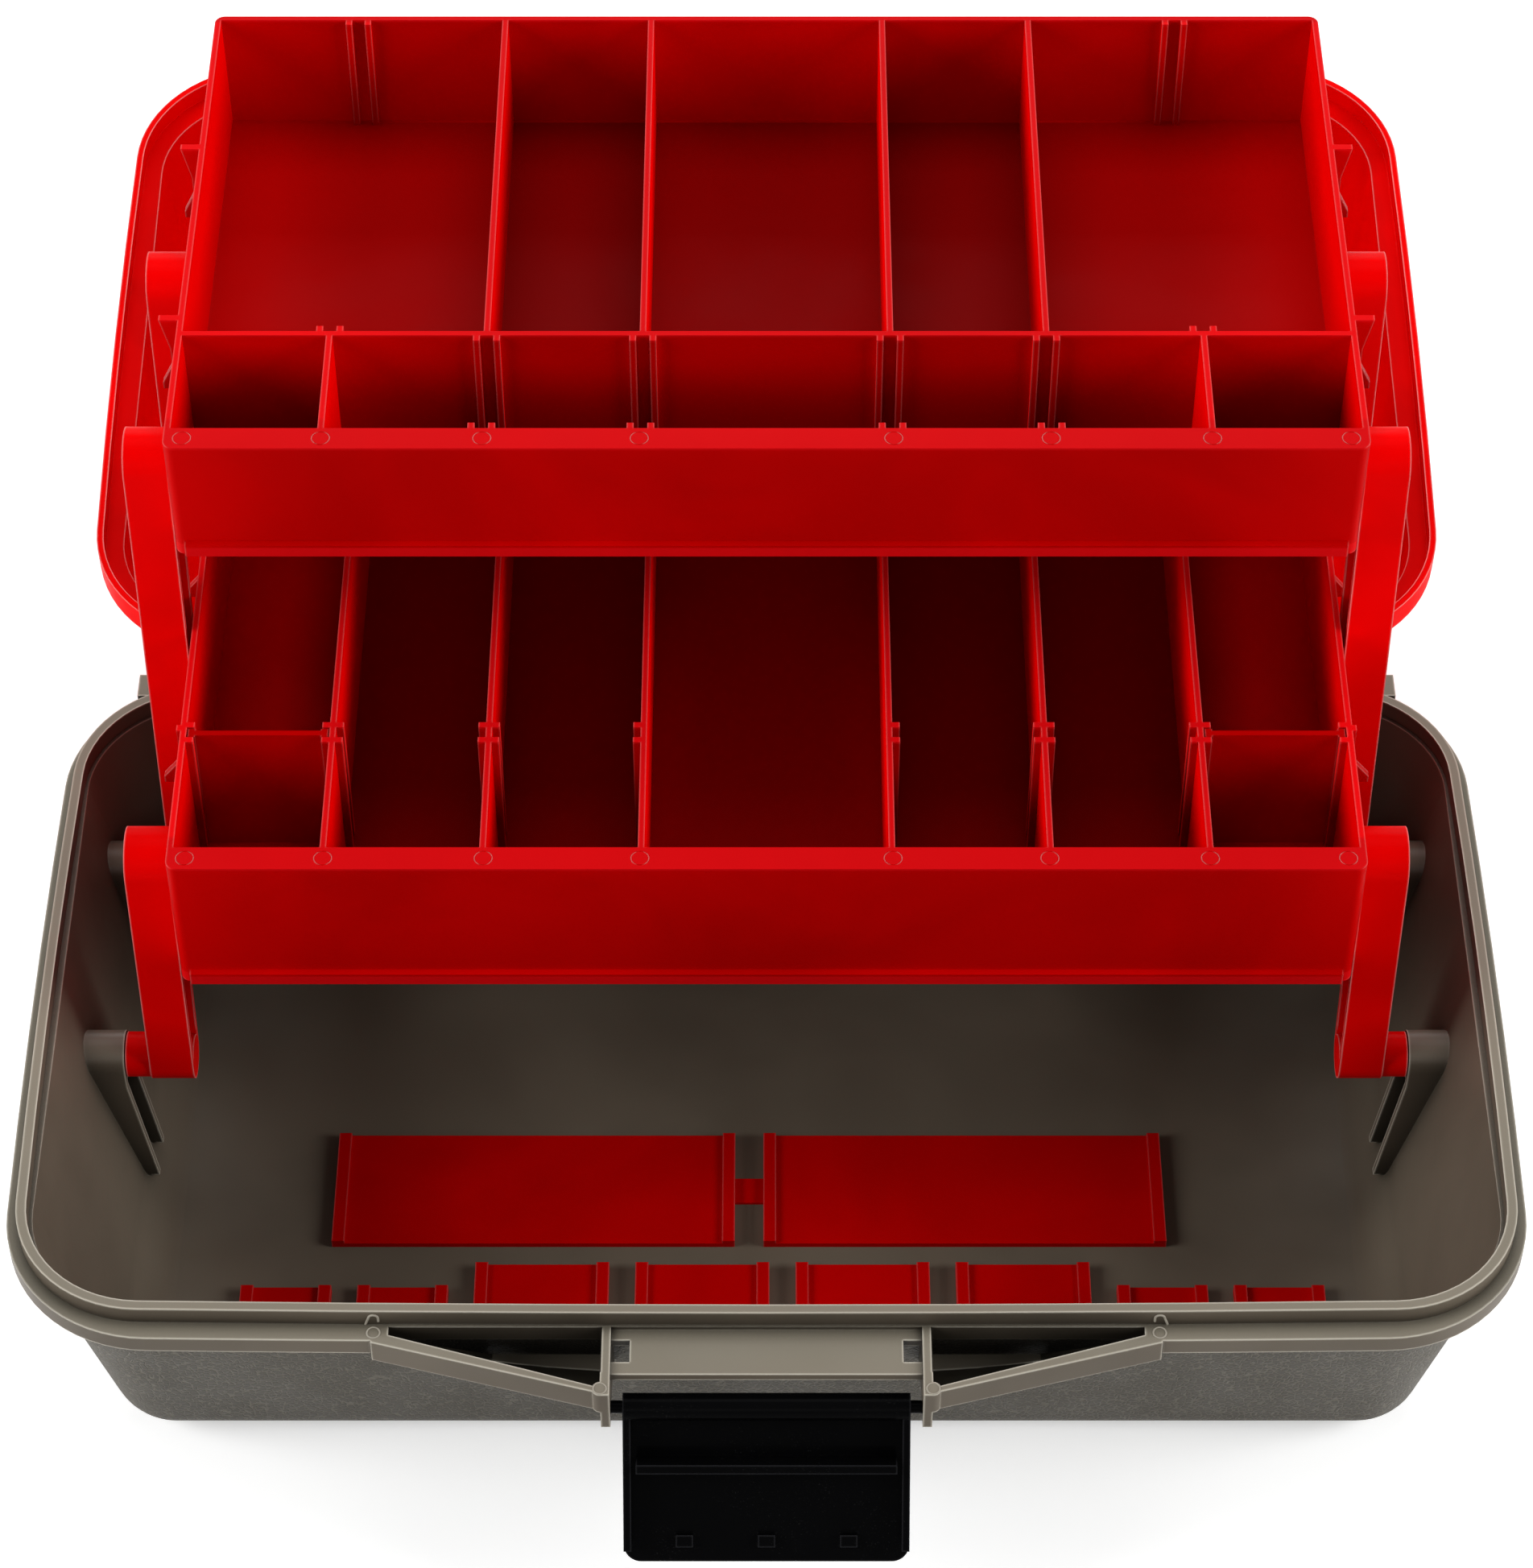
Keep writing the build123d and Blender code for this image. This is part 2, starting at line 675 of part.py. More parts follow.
def arm(pivots, from_base):
    """A channel-shaped arm through its pivots, open towards the trays, drawn on the right side."""
    solid = plate_x(arm_plan(pivots, 0), arm_inner_x, arm_outer_x)
    solid -= plate_x(arm_plan(pivots, arm_flange), arm_inner_x, arm_outer_x - arm_web)
    for y, z in pivots:
        solid += bar_x(y, z, arm_hub_radius, arm_inner_x, arm_outer_x - arm_web / 2)
    bore_end = tray_half_width + tray_pin_length + side_gap
    for y, z in pivots[1 if from_base else 0:]:
        solid -= bar_x(y, z, tray_pin_radius + running_gap, 0, bore_end)
    if from_base:
        y, z = pivots[0]
        solid += bar_x(y, z, base_hub_radius, arm_outer_x - arm_web, arm_outer_x + base_hub_length)
        solid += bar_x(y, z, base_pin_radius, arm_outer_x, boss_x + base_pin_length)
    return solid


def divider(length, height):
    """A loose divider lying flat and centred, with thicker ends that fit between the guides."""
    half = length / 2
    plate = block(-half, half, -height / 2, height / 2, wall, wall + divider_thick)
    end = block(half - divider_end, half, -height / 2, height / 2, wall, wall + divider_end_thick)
    return plate + both_sides(end)


def long_divider_pair():
    """Two long dividers lying end to end, joined by a thin bridge."""
    apart = (long_divider_length + bridge_length) / 2
    half = Pos(apart, 0, 0) * divider(long_divider_length, long_divider_height)
    other = Pos(-apart, 0, 0) * divider(long_divider_length, long_divider_height)
    reach = bridge_length / 2 + divider_end
    bridge = block(-reach, reach, -bridge_width / 2, bridge_width / 2, wall, wall + bridge_thick)
    return Pos(long_pair_x, long_pair_from_front - floor_y, 0) * (half + other + bridge)


def cross_divider():
    """A divider standing in the corner compartment of the lower tray, on the right."""
    x0 = outer_partition_x + partition / 2 + divider_play
    x1 = tray_half_width - tray_wall - divider_play
    low = tray_floor - lower_tray_height
    top = -divider_play
    plate = block(x0, x1, cross_slot_back - divider_thick / 2, cross_slot_back + divider_thick / 2, low, top)
    for end0, end1 in ((x0, x0 + guide_reach), (x1 - guide_reach, x1)):
        plate += block(end0, end1, cross_slot_back - divider_end_thick / 2,
                       cross_slot_back + divider_end_thick / 2, low, top)
    return plate


# Pivots of the folding arms with the box open
base_front = (front_pivot_y, pivot_z)
base_rear = (front_pivot_y + pivot_spacing, pivot_z)
lower_front = leaning(*base_front, lower_arm_span, open_lean)
lower_middle = leaning(*base_rear, lower_arm_span, open_lean)
lower_rear = (lower_middle[0] + pivot_spacing, lower_middle[1])
upper_front = leaning(*lower_middle, upper_arm_span, open_lean)
upper_rear = leaning(*lower_rear, upper_arm_span, open_lean)
lower_place = Pos(0, lower_front[0] - pivot_from_front, lower_front[1] + lower_pivot_drop)
upper_place = Pos(0, upper_front[0] - pivot_from_front, upper_front[1] + upper_pivot_drop)

parts = {
    "base_tub": base_tub(),
    "hinge_rod": hinge_rod(),
    "latch": latch(),
    "lid_shell": lid_shell(),
    "lid_handle": lid_handle(),
    "lower_tray": lower_place * lower_tray(),
    "upper_tray": upper_place * upper_tray(),
    "long_divider_pair": long_divider_pair(),
}

arms = {
    "front_arm": arm([base_front, lower_front], True),
    "main_arm": arm([base_rear, lower_middle, upper_front], True),
    "rear_arm": arm([lower_rear, upper_rear], False),
    "cross_divider": lower_place * cross_divider(),
}
for name, shape in arms.items():
    parts[name + "_right"] = shape
    parts[name + "_left"] = other_side(shape)

# The spare dividers lie in one row with equal gaps: two narrow ones, four wide ones, two narrow ones
wide_divider_length = corner_pitch - tray_wall - partition / 2 - 2 * divider_play
wide_divider = divider(wide_divider_length, wide_divider_height)
narrow_divider = divider(narrow_divider_length, narrow_divider_height)
wide = ("wide", wide_divider, wide_divider_length, wide_row_from_front)
narrow = ("narrow", narrow_divider, narrow_divider_length, narrow_row_from_front)
row = [narrow, narrow, wide, wide, wide, wide, narrow, narrow]
row_room = 2 * floor_x - row_from_left - row_from_right
row_gap = (row_room - sum(length for _, _, length, _ in row)) / (len(row) - 1)
edge_x = row_from_left - floor_x
count = {"wide": 0, "narrow": 0}
for kind, shape, length, from_front in row:
    count[kind] += 1
    place = Pos(edge_x + length / 2, from_front - floor_y, 0)
    parts[f"loose_divider_{kind}_{count[kind]}"] = place * shape
    edge_x += length + row_gap

for name, shape in parts.items():
    export_step(shape, os.path.join("parts", name + ".step"))
print("The lid opens", round(lid_open_angle(), 4), "degrees, and the arms fold", round(fold_angle, 4))
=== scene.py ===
# %% [markdown]
# A cantilever tool box stands open on a pale floor. Its shapes come from a solid model that is already
# finished, so this lesson is about what a camera sees on top of those shapes: the moulded plastic, its
# grain and gloss, the round marks that a mould leaves, and the light. The solid model is loaded first.

# %% Load the finished solids
from math import cos, pi, radians, sin
import bmesh
import bpy
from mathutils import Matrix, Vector


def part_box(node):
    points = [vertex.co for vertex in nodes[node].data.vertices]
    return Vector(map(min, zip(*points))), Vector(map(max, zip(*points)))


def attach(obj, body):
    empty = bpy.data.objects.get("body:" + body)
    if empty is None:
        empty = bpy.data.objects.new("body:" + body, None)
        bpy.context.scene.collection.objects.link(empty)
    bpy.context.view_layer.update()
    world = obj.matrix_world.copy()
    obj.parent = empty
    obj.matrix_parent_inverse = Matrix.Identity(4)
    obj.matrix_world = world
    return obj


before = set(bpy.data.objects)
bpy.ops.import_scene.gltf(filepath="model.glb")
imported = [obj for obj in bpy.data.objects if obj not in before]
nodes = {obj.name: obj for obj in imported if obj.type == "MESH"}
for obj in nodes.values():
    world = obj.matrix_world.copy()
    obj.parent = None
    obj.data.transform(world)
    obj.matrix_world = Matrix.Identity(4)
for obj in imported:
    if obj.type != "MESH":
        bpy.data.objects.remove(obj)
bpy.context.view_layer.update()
mm = 0.001
print("solids:", len(nodes))

# %% [markdown]
# The camera stands in front of the box and above it, looking down at a little under fifty degrees, from
# far enough away that the tub and the lid keep nearly straight sides. A long lens gives that look.

# %% Place the camera
view_down = radians(48.4)
camera_place = (0, -0.702, 0.939)
focal_pixels = 5660
image_height = 1947
camera_data = bpy.data.cameras.new("studio_camera")
camera_data.sensor_fit = "VERTICAL"
camera_data.sensor_height = 36
camera_data.lens = focal_pixels / image_height * camera_data.sensor_height
camera_data.clip_start = 0.01
camera = bpy.data.objects.new("studio_camera", camera_data)
camera.location = camera_place
camera.rotation_euler = (pi / 2 - view_down, 0, 0)
bpy.context.collection.objects.link(camera)
bpy.context.scene.camera = camera
print("lens:", round(camera_data.lens, 1), "mm")

# %% [markdown]
# A material is a small calculation that runs at every point of a surface. Written as nodes it becomes
# hard to read, so one class wraps a node's output socket and lets plain Python operators add the Math
# nodes. The function `add_node` makes any other node: its settings come first, then what its sockets
# hold, by their names or, where a node has two sockets of one name, by their places.

# %% A socket that can be used in expressions
def plug(tree, socket, value):
    if isinstance(value, Value):
        tree.links.new(value.socket, socket)
    elif value is not None:
        socket.default_value = value


def add_node(tree, kind, settings=None, out=0, places=None, **inputs):
    node = tree.nodes.new(kind)
    for setting, value in (settings or {}).items():
        setattr(node, setting, value)
    for name, value in inputs.items():
        plug(tree, node.inputs[name.replace("_", " ")], value)
    for place, value in (places or {}).items():
        plug(tree, node.inputs[place], value)
    return Value(tree, node.outputs[out])


class Value:
    def __init__(self, tree, socket):
        self.tree = tree
        self.socket = socket

    def math(self, operation, *others):
        places = dict(enumerate((self, *others)))
        return add_node(self.tree, "ShaderNodeMath", {"operation": operation}, places=places)

    def __add__(self, other):
        return self.math("ADD", other)

    def __radd__(self, other):
        return self.math("ADD", other)

    def __sub__(self, other):
        return self.math("SUBTRACT", other)

    def __rsub__(self, other):
        return (self * -1).math("ADD", other)

    def __mul__(self, other):
        return self.math("MULTIPLY", other)

    def __rmul__(self, other):
        return self.math("MULTIPLY", other)

    def size(self):
        """The value without its sign."""
        return self.math("ABSOLUTE")

    def larger(self, other):
        return self.math("MAXIMUM", other)

    def smooth(self, low, high):
        """Rises from 0 at low to 1 at high, with soft ends."""
        return add_node(self.tree, "ShaderNodeMapRange", {"interpolation_type": "SMOOTHSTEP"},
                        Value=self, From_Min=low, From_Max=high)


print("value class ready")

# %% [markdown]
# Every finish starts from the same things: a place on the piece, a few noises, and three ways of asking
# where on the piece a point is. The way a face looks, how much open air is around it and whether it lies
# on an edge are all read from the surface itself, so they look the same from every side.

# %% A finish and its common patterns
class Finish:
    """One material: its tree, its main shader and a few common patterns."""

    def __init__(self, name, roughness=0.4, **constants):
        self.material = bpy.data.materials.new(name)
        self.material.use_nodes = True
        self.tree = self.material.node_tree
        self.shader = self.tree.nodes["Principled BSDF"]
        self.set(Roughness=roughness, **constants)
        self.place = self.add("ShaderNodeTexCoord", out="Object")
        self.x, self.y, self.z = self.parts(self.place)

    def add(self, kind, settings=None, out=0, places=None, **inputs):
        return add_node(self.tree, kind, settings, out, places, **inputs)

    def noise(self, scale, detail=2.0, roughness=0.5, distortion=0.0):
        return self.add("ShaderNodeTexNoise", Vector=self.place, Scale=scale, Detail=detail,
                        Roughness=roughness, Distortion=distortion)

    def parts(self, vector):
        """The x, y and z of a vector, as three values."""
        first = self.add("ShaderNodeSeparateXYZ", Vector=vector)
        return [Value(self.tree, socket) for socket in first.socket.node.outputs]

    def facing(self):
        """Which way the surface looks: z is 1 on a floor, 0 on a wall and -1 underneath."""
        return self.parts(self.add("ShaderNodeTexCoord", out="Normal"))

    def open_air(self, reach):
        """1 where nothing of the same piece stands within reach, falling to 0 deep in a pocket."""
        return self.add("ShaderNodeAmbientOcclusion", {"samples": 6, "only_local": True}, out="AO",
                        Distance=reach)

    def edges(self, radius, ends_only=False):
        """1 along sharp outer edges, 0 on flat faces and in inner corners.

        A rounded normal turns away from the true one near any edge, and an inner corner is the edge
        that hides part of its own surroundings. With ends_only, an edge counts where it looks left or
        right, which is where the side lamps catch it.
        """
        rounded = self.add("ShaderNodeBevel", {"samples": 6}, Radius=radius)
        true = self.add("ShaderNodeNewGeometry", out="Normal")
        likeness = self.add("ShaderNodeVectorMath", {"operation": "DOT_PRODUCT"}, out="Value",
                            places={0: rounded, 1: true})
        edge = (1 - likeness).smooth(0.01, 0.12) * self.open_air(3 * radius).smooth(0.7, 0.9)
        if ends_only:
            edge = edge * self.parts(rounded)[0].size().smooth(0.25, 0.6)
        return edge

    def mix(self, factor, first, second):
        colours = [colour if isinstance(colour, Value) else (*colour, 1) for colour in (first, second)]
        return self.add("ShaderNodeMix", {"data_type": "RGBA"}, out=2,
                        places={0: factor, 6: colours[0], 7: colours[1]})

    def bump(self, height, distance, strength=1.0, under=None):
        return self.add("ShaderNodeBump", Height=height, Distance=distance, Strength=strength,
                        Normal=under)

    def set(self, **sockets):
        for name, value in sockets.items():
            plug(self.tree, self.shader.inputs[name.replace("_", " ")], value)
        return self.material


print("finish class ready")

# %% [markdown]
# The trays, arms, lid and dividers are moulded in red polypropylene. It is a waxy plastic: the gloss is
# soft, the surface carries long faint flow waves from the mould, and light scatters a little way in.
# Outer edges get a painted highlight, so they look paler than broad walls. Fine dust and handling make
# the gloss patchy. The deep floors of the trays get painted shade, and the cross walls, which the light
# comes through, get a painted glow.

# %% The reds, and a tray's painted light and shade
red_deep = (0.40, 0.0, 0.0)
red_bright = (0.52, 0.0, 0.0003)
red_highlight = (0.72, 0.005, 0.008)
red_glow = (0.96, 0.0, 0.0)
red_floor_shade = (0.25, 0.0, 0.0)
red_outside = (0.52, 0.0, 0.0003)
red_edge_highlight = (0.95, 0.40, 0.38)

ledge_depth = 10 * mm
rear_wall = 2.6 * mm
bead_height = 3 * mm
deepest, shallow = 30 * mm, 4 * mm
face_end_start, face_end = 100 * mm, 150 * mm
wall_share = 0.25
highlight_share = 0.55


def tray_light_and_shade(finish, box, glow_span, colour):
    """A tray's painted light and shade: painted shade on floors, deepening with depth, and a painted glow on
    walls that the light comes through.
    """
    (_, front, foot), (_, back, rim) = box
    across, along, up = finish.facing()
    from_middle = finish.x.size()
    behind_ledge = finish.y.smooth(front + ledge_depth, front + ledge_depth + 2 * mm)
    before_rear = 1 - finish.y.smooth(back - rear_wall, back - rear_wall + 0.6 * mm)
    inside = behind_ledge * before_rear * up.smooth(-0.5, -0.3)

    # Painted glow: a bright red is painted on end walls that face the middle, on floors and walls near the
    # ends and on the front faces' ends, standing in for light that comes through the walls.
    to_middle = (finish.x * across * -1).smooth(0, 10 * mm) * across.size().smooth(0.6, 0.9)
    start, full, floor_share = glow_span
    share = wall_share + up.smooth(0.6, 0.9) * floor_share
    near_ends = from_middle.smooth(start, full) * inside * (1 - across.size()) * share
    face_ends = from_middle.smooth(face_end_start, face_end) * (along * -1).smooth(0.5, 0.9)
    lit_through = to_middle.larger(near_ends).larger(face_ends * (1 - inside) * wall_share)

    colour = finish.mix(lit_through, colour, red_glow)
    # Painted shade: the tray floors darken towards the bottom.
    depth = 1 - finish.z.smooth(rim - deepest, rim - shallow)
    colour = finish.mix(inside * depth * (1 - lit_through * 0.8), colour, red_floor_shade)
    # Painted highlight: the rim band and the front bead are painted paler.
    bead = (1 - behind_ledge) * (1 - finish.z.smooth(foot + bead_height, foot + bead_height + 0.6 * mm))
    band = finish.z.smooth(rim - 0.9 * mm, rim - 0.2 * mm)
    return finish.mix(band.larger(bead) * highlight_share, colour, red_highlight)


print("tray floors are darkest", round(deepest / mm), "mm below the rim")

# %% [markdown]
# Outside, the lid and the tub are pressed against an etched mould, which leaves a leather-like grain of
# small wandering creases. A cell pattern gives the creases, and a slower noise bends them, so that they
# look etched and not like tiles. The walls lean, so their outside faces slightly down and their inside
# slightly up, and a ramp on that tilt lets the grain in outside only.

# %% Leather grain
grain_cells = 650
grain_height = 0.25 * mm
grain_bend = 1.8 * mm
lid_lean = radians(6.48)


def leather(finish):
    """A height that looks like etched leather: small soft cells, bent by a slower noise."""
    slow = finish.noise(grain_cells * 0.5).socket.node.outputs["Color"]
    bent = finish.add("ShaderNodeVectorMath", {"operation": "MULTIPLY_ADD"},
                      places={0: Value(finish.tree, slow), 1: (grain_bend,) * 3, 2: finish.place})
    crease = finish.add("ShaderNodeTexVoronoi", {"feature": "DISTANCE_TO_EDGE"}, Vector=bent,
                        Scale=grain_cells)
    return crease.smooth(0.0, 0.16)


def outside_of(finish, lean=0):
    """1 on a shell's outside, whose walls face a little down, and 0 on its inside.

    The open lid leans, so its faces are looked at as if it lay level.
    """
    _, along, up = finish.facing()
    return 1 - (up * cos(lean) - along * sin(lean)).smooth(-0.13, -0.04)


print("grain cells are", round(1 / grain_cells / mm, 2), "mm wide")

# %% [markdown]
# One function makes every red. A thin piece is lifted brighter, which paints extra light into its colour,
# and the outer edges that look sideways get a painted highlight. The lid is darker outside, where the grain
# is. A tray is given its box, because its painted light and shade follow its rim and its front. The scales
# say how many bumps a pattern has in a metre.

# %% Red plastic
flow_scale, wave_scale, handling_scale = 14, 26, 55
dust_scale, pore_scale = 900, 1500
wave_height, pore_height = 1.2 * mm, 0.03 * mm
red_highlight_radius = 0.8 * mm


def red_plastic(name, box=None, glow_span=None, gloss=0.34, light_lift=1.0, edge_highlight=0.8, grained=False):
    """Red plastic: the lift paints extra light into the whole colour of a thin piece, and the shine is how
    strong the painted highlight on the outer edges is.

    A grained piece is darker outside and carries the leather grain there.
    With a tray's box, its rim and bead get a painted highlight, its cross walls a painted glow, and its
    floors painted shade that deepens with depth except near the ends, where glow_span says how far out
    from the middle the painted light through the walls begins and is full, and how much of it a floor gets.
    """
    finish = Finish(name, IOR=1.49, Specular_IOR_Level=0.015)
    flow = finish.noise(flow_scale, detail=3.0, roughness=0.55, distortion=0.6)
    # Painted light: the lift brightens the whole colour, standing in for more light on thin pieces.
    deep, bright = ([light_lift * part for part in red] for red in (red_deep, red_bright))
    colour = finish.mix(flow.smooth(0.3, 0.72), deep, bright)
    if box:
        colour = tray_light_and_shade(finish, box, glow_span, colour)
    if grained:
        outside, creases = outside_of(finish, lid_lean), leather(finish)
        colour = finish.mix(outside * (0.85 + creases * 0.15), colour, red_outside)
    # Painted highlight on the outer edges that look sideways.
    colour = finish.mix(finish.edges(red_highlight_radius, ends_only=True) * edge_highlight, colour, red_edge_highlight)

    handled = finish.noise(handling_scale, detail=4.0, roughness=0.6).smooth(0.35, 0.7)
    dust = finish.noise(dust_scale)
    pores = finish.add("ShaderNodeTexVoronoi", Vector=finish.place, Scale=pore_scale)
    waves = finish.noise(wave_scale, detail=1.5)
    shaped = finish.bump(waves, wave_height, 0.35, finish.bump(pores, pore_height, 0.35))
    if grained:
        shaped = finish.bump(creases * outside, grain_height, 0.8, shaped)
    return finish.set(Base_Color=colour, Roughness=gloss + handled * 0.12 + dust * 0.04, Normal=shaped)


glow_spans = {"lower_tray": (96 * mm, 124 * mm, 0.6), "upper_tray": (45 * mm, 115 * mm, 0.3)}
tray_red = {name: red_plastic(name + "_red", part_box(name), span, edge_highlight=0.2)
            for name, span in glow_spans.items()}
arm_red = red_plastic("arm_red", gloss=0.3, light_lift=1.9)
lid_red = red_plastic("lid_red", gloss=0.36, light_lift=1.9, grained=True)
divider_red = red_plastic("divider_red", gloss=0.38, edge_highlight=0.15)

# %% [markdown]
# The tub is a taupe grey of the same plastic. Its outside has the lid's grain, and its inside is smooth,
# so a spanner slides instead of catching. The same material covers both. The pockets get painted shade,
# and the outer edges, the lip and the up-facing ledges get painted highlights.

# %% Taupe plastic with leather grain outside
taupe = (0.134, 0.110, 0.081)
taupe_dark = (0.102, 0.083, 0.061)
taupe_grey = (0.094, 0.090, 0.080)
taupe_pocket_shade = (0.012, 0.010, 0.007)
taupe_crease_and_highlight = (0.30, 0.275, 0.215)
taupe_edge_highlight = (0.62, 0.58, 0.49)
lip_start, lip_full = 76.2 * mm, 76.9 * mm
ledge_start, ledge_full = 45 * mm, 60 * mm
pocket_reach = 18 * mm
tub_highlight_radius = 0.9 * mm
cloud_scale, rubbed_scale, fine_scale = 16, 48, 1400


def tub_plastic():
    finish = Finish("tub_taupe", IOR=1.49, Specular_IOR_Level=0.15)
    cloud = finish.noise(cloud_scale, detail=3.0, distortion=0.4)
    colour = finish.mix(cloud.smooth(0.3, 0.7), taupe_dark, taupe)
    outside, creases = outside_of(finish), leather(finish)
    colour = finish.mix(outside * 0.75, colour, taupe_grey)
    colour = finish.mix((1 - creases) * outside * 0.3, colour, taupe_crease_and_highlight)
    # Painted highlight: up-facing ledges high on the tub and the lip band are painted paler.
    ledge_highlight = finish.z.smooth(ledge_start, ledge_full) * finish.facing()[2].smooth(0.3, 0.8)
    colour = finish.mix(ledge_highlight.larger(finish.z.smooth(lip_start, lip_full)) * 0.5, colour, taupe_crease_and_highlight)
    # Painted shade: pockets where little light reaches are painted nearly black.
    pocket = 1 - finish.open_air(pocket_reach).smooth(0.35, 0.85)
    colour = finish.mix(pocket * 0.9, colour, taupe_pocket_shade)
    # Painted highlight along the outer edges.
    colour = finish.mix(finish.edges(tub_highlight_radius) * 0.8, colour, taupe_edge_highlight)

    rubbed = finish.noise(rubbed_scale, detail=4.0).smooth(0.35, 0.7)
    shaped = finish.bump(creases * outside, grain_height)
    shaped = finish.bump(finish.noise(fine_scale, detail=1.0), pore_height, 0.3, shaped)
    return finish.set(Base_Color=colour, Roughness=0.36 + rubbed * 0.12 + outside * 0.14, Normal=shaped)


tub_taupe = tub_plastic()
print("tub plastic ready")

# %% [markdown]
# The latch and the carrying handle are black and glossier. Black plastic shows dust and hair scratches
# first, so the colour stays almost black and the roughness does the work. The hinge rod is drawn steel
# wire: bright, with marks that run along it.

# %% Black plastic and steel wire
black = (0.0015, 0.0015, 0.0017)
black_dust = (0.012, 0.012, 0.012)
black_edge_highlight = (0.10, 0.10, 0.11)
steel_dull = (0.42, 0.42, 0.43)
steel_bright = (0.62, 0.62, 0.63)
haze_scale, black_dust_scale, sag_scale = 60, 2600, 40
black_highlight_radius = 0.8 * mm


def black_plastic():
    finish = Finish("gloss_black", IOR=1.5, Specular_IOR_Level=0.015)
    haze = finish.noise(haze_scale, detail=4.0)
    dust = finish.noise(black_dust_scale, detail=1.0).smooth(0.66, 0.74) * haze.smooth(0.4, 0.7)
    colour = finish.mix(dust, black, black_dust)
    # Painted highlight along the outer edges.
    colour = finish.mix(finish.edges(black_highlight_radius) * 0.15, colour, black_edge_highlight)
    shaped = finish.bump(finish.noise(sag_scale, detail=1.0), 0.5 * mm, 0.25)
    return finish.set(Base_Color=colour, Roughness=0.2 + haze.smooth(0.35, 0.7) * 0.1, Normal=shaped)


def steel_wire():
    finish = Finish("drawn_steel", Metallic=1.0)
    stretched = finish.add("ShaderNodeMapping", Vector=finish.place, Scale=(20, 900, 900))
    streak = finish.add("ShaderNodeTexNoise", Vector=stretched, Scale=1.0, Detail=2.0)
    return finish.set(Base_Color=finish.mix(streak, steel_dull, steel_bright),
                      Roughness=0.26 + streak * 0.16, Normal=finish.bump(streak, 0.05 * mm, 0.4))


latch_black = black_plastic()
rod_steel = steel_wire()
print("black plastic and steel ready")

# %% [markdown]
# Each finished solid takes its material. A solid keeps its own mesh, so only the material slot changes.
# Faces that meet at a shallow angle are shaded as one curve already, from the solid model's own normals.

# %% Dress the solids
def material_for(name):
    if name in tray_red:
        return tray_red[name]
    if "_arm_" in name:
        return arm_red
    if "divider" in name:
        return divider_red
    return {"base_tub": tub_taupe, "hinge_rod": rod_steel, "latch": latch_black,
            "lid_shell": lid_red, "lid_handle": latch_black}[name]


for name, solid in nodes.items():
    solid.data.materials.clear()
    solid.data.materials.append(material_for(name))
print("dressed:", len(nodes))

# %% [markdown]
# Where the mould's push-out pins press on the soft plastic they leave round witness rings, a little over
# four millimetres across, in a row along each tray's front ledge. They are all alike, so Geometry Nodes lays
# one small ring on each point of a list, and the tree's named input holds the ring's size.

# %% Witness rings by Geometry Nodes
def new_tree(name, **sizes):
    """An empty Geometry Nodes tree whose named inputs hold sizes, with its two ends."""
    tree = bpy.data.node_groups.new(name, "GeometryNodeTree")
    tree.interface.new_socket("Geometry", in_out="INPUT", socket_type="NodeSocketGeometry")
    for size, value in sizes.items():
        socket = tree.interface.new_socket(size.replace("_", " "), in_out="INPUT",
                                           socket_type="NodeSocketFloat")
        socket.default_value = value
    tree.interface.new_socket("Geometry", in_out="OUTPUT", socket_type="NodeSocketGeometry")
    return tree, tree.nodes.new("NodeGroupInput"), tree.nodes.new("NodeGroupOutput")


def round_line(tree, start, sides, path):
    """Sweeps a round profile along a path of curves and gives the sweep's mesh."""
    line = tree.nodes.new("GeometryNodeCurvePrimitiveCircle")
    line.inputs["Resolution"].default_value = sides
    sweep = tree.nodes.new("GeometryNodeCurveToMesh")
    sweep.inputs["Fill Caps"].default_value = True
    tree.links.new(start.outputs["Line Radius"], line.inputs["Radius"])
    tree.links.new(path, sweep.inputs["Curve"])
    tree.links.new(line.outputs["Curve"], sweep.inputs["Profile Curve"])
    return sweep.outputs["Mesh"]


def make_real(tree, made, material, end):
    """Ends a tree: instances become real geometry, and the geometry takes its material."""
    real = tree.nodes.new("GeometryNodeRealizeInstances")
    paint = tree.nodes.new("GeometryNodeSetMaterial")
    paint.inputs["Material"].default_value = material
    tree.links.new(made, real.inputs["Geometry"])
    tree.links.new(real.outputs["Geometry"], paint.inputs["Geometry"])
    tree.links.new(paint.outputs["Geometry"], end.inputs["Geometry"])
    return tree


def ring_tree(material):
    tree, start, end = new_tree("witness_rings", Ring_Radius=2.1 * mm, Line_Radius=0.2 * mm)
    path = tree.nodes.new("GeometryNodeCurvePrimitiveCircle")
    path.inputs["Resolution"].default_value = 24
    tree.links.new(start.outputs["Ring Radius"], path.inputs["Radius"])
    lay = tree.nodes.new("GeometryNodeInstanceOnPoints")
    tree.links.new(start.outputs["Geometry"], lay.inputs["Points"])
    tree.links.new(round_line(tree, start, 6, path.outputs["Curve"]), lay.inputs["Instance"])
    return make_real(tree, lay.outputs["Instances"], material, end)


